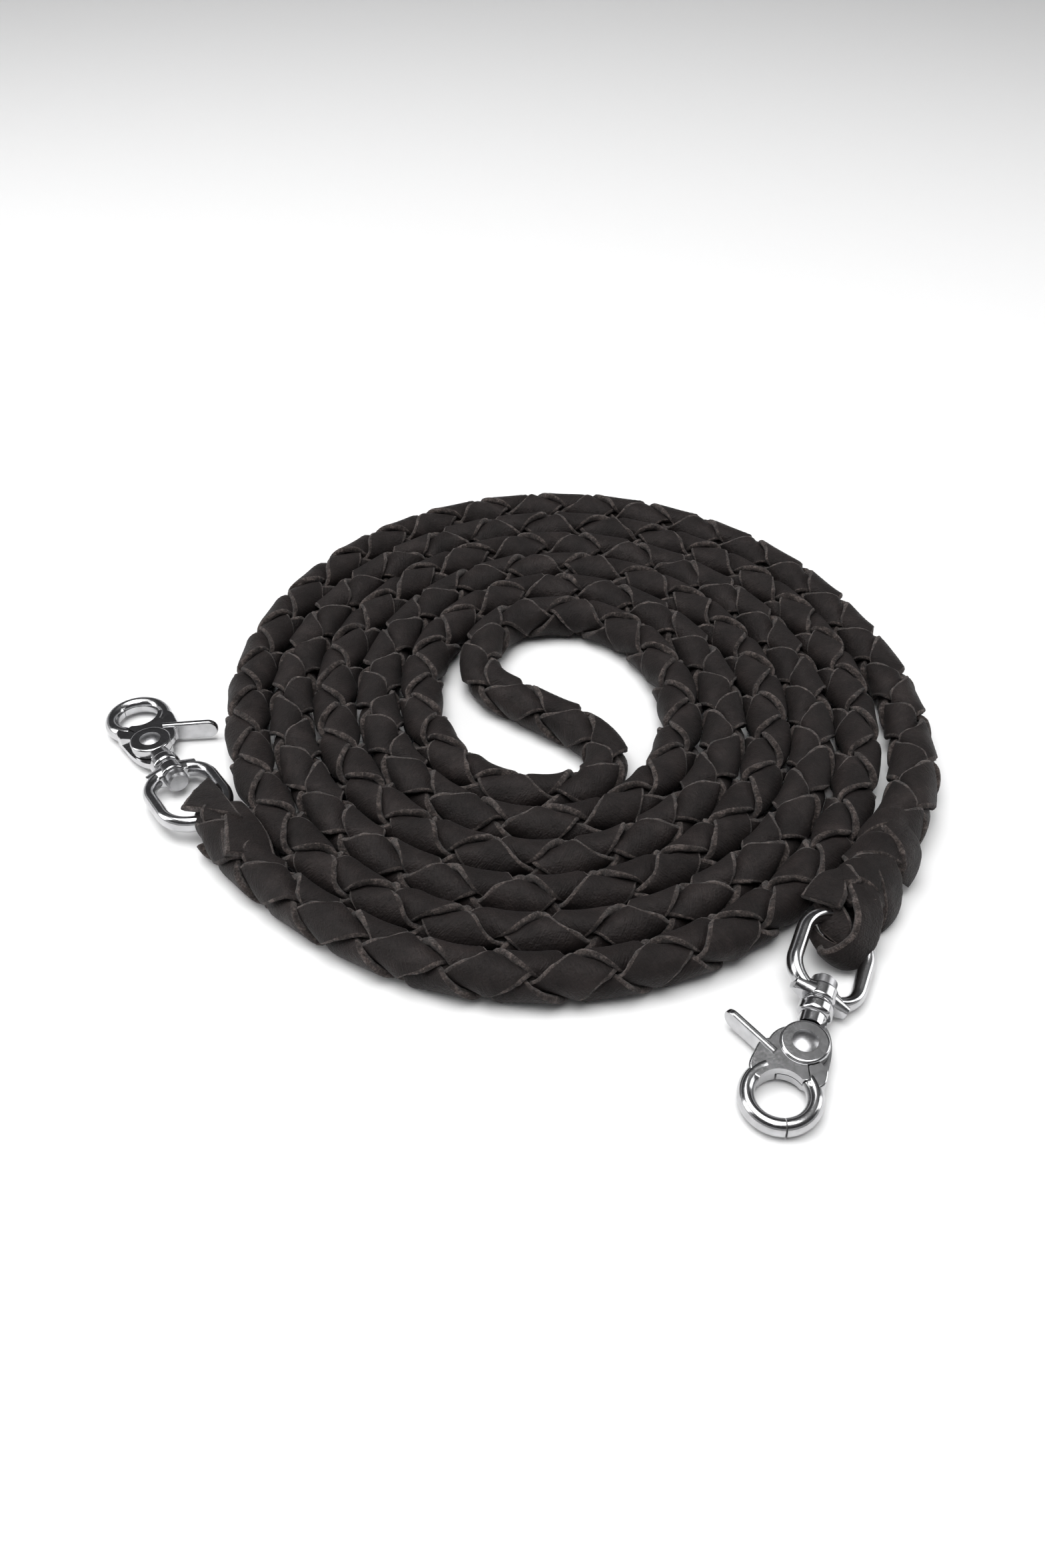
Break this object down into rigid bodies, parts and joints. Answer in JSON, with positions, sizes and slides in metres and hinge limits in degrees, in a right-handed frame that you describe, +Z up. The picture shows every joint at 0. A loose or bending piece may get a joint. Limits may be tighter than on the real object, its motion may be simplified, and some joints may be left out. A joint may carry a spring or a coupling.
{
  "type": "braided leather closed riding reins",
  "caption": "Braided round leather riding rein, closed, laid in a flat double spiral, with a swivel scissor snap at each end.",
  "frame": {"origin": "on the ground, under the middle of the object's box", "axes": "+Z up; +Y away from the viewer, along the spiral's longer side; +X to the viewer's right"},
  "size_m": [0.273, 0.2955, 0.0172],
  "materials": {
    "dark_leather": "matte dark brown latigo with rough raw cut edges",
    "stainless_steel": "polished stainless steel",
    "spring_steel": "drawn spring wire"
  },
  "bodies": {
    "leather": {"coil": "dark_leather", "middle_bend": "dark_leather", "right_tail": "dark_leather", "right_splice": "dark_leather", "left_tail": "dark_leather", "right_lace_loop_1": "dark_leather", "right_lace_loop_2": "dark_leather", "left_lace_loop_1": "dark_leather", "left_lace_loop_2": "dark_leather"},
    "right_eye": {"right_swivel_eye": "stainless_steel"},
    "right_hook": {"right_hook_body": "stainless_steel", "right_pivot_rivet": "stainless_steel", "right_torsion_spring": "spring_steel", "right_swivel_pin": "stainless_steel", "right_thrust_washer": "stainless_steel"},
    "right_trigger": {"right_trigger_jaw": "stainless_steel"},
    "left_eye": {"left_swivel_eye": "stainless_steel"},
    "left_hook": {"left_hook_body": "stainless_steel", "left_pivot_rivet": "stainless_steel", "left_torsion_spring": "spring_steel", "left_swivel_pin": "stainless_steel", "left_thrust_washer": "stainless_steel"},
    "left_trigger": {"left_trigger_jaw": "stainless_steel"}
  },
  "joints": [
    {"name": "right_eye_swing", "type": "hinge", "parent": "leather", "child": "right_eye", "pos_m": [0.09495, -0.08013, 0.00861], "axis": [-0.85, 0.3162, 0.4213], "range_deg": [0, 25]},
    {"name": "right_swivel", "type": "hinge", "parent": "right_eye", "child": "right_hook", "pos_m": [0.08339, -0.10804, 0.00623], "axis": [-0.3815, -0.921, -0.0785], "continuous": true},
    {"name": "right_trigger", "type": "hinge", "parent": "right_hook", "child": "right_trigger", "pos_m": [0.0779, -0.1213, 0.0051], "axis": [0.03, 0.0725, -0.9969], "range_deg": [0, 28], "stiffness_Nm_per_rad": 0.12, "springref_deg": -25.21, "deforming": ["right_torsion_spring"]},
    {"name": "left_eye_swing", "type": "hinge", "parent": "leather", "child": "left_eye", "pos_m": [-0.09196, -0.03772, 0.00704], "axis": [0.8339, 0.5519, 0], "range_deg": [0, 25]},
    {"name": "left_swivel", "type": "hinge", "parent": "left_eye", "child": "left_hook", "pos_m": [-0.10866, -0.01249, 0.00545], "axis": [-0.5512, 0.8327, -0.0523], "continuous": true},
    {"name": "left_trigger", "type": "hinge", "parent": "left_hook", "child": "left_trigger", "pos_m": [-0.1166, -0.0005, 0.0047], "axis": [0.0289, -0.0436, -0.9986], "range_deg": [0, 28], "stiffness_Nm_per_rad": 0.12, "springref_deg": -25.21, "deforming": ["left_torsion_spring"]}
  ]
}
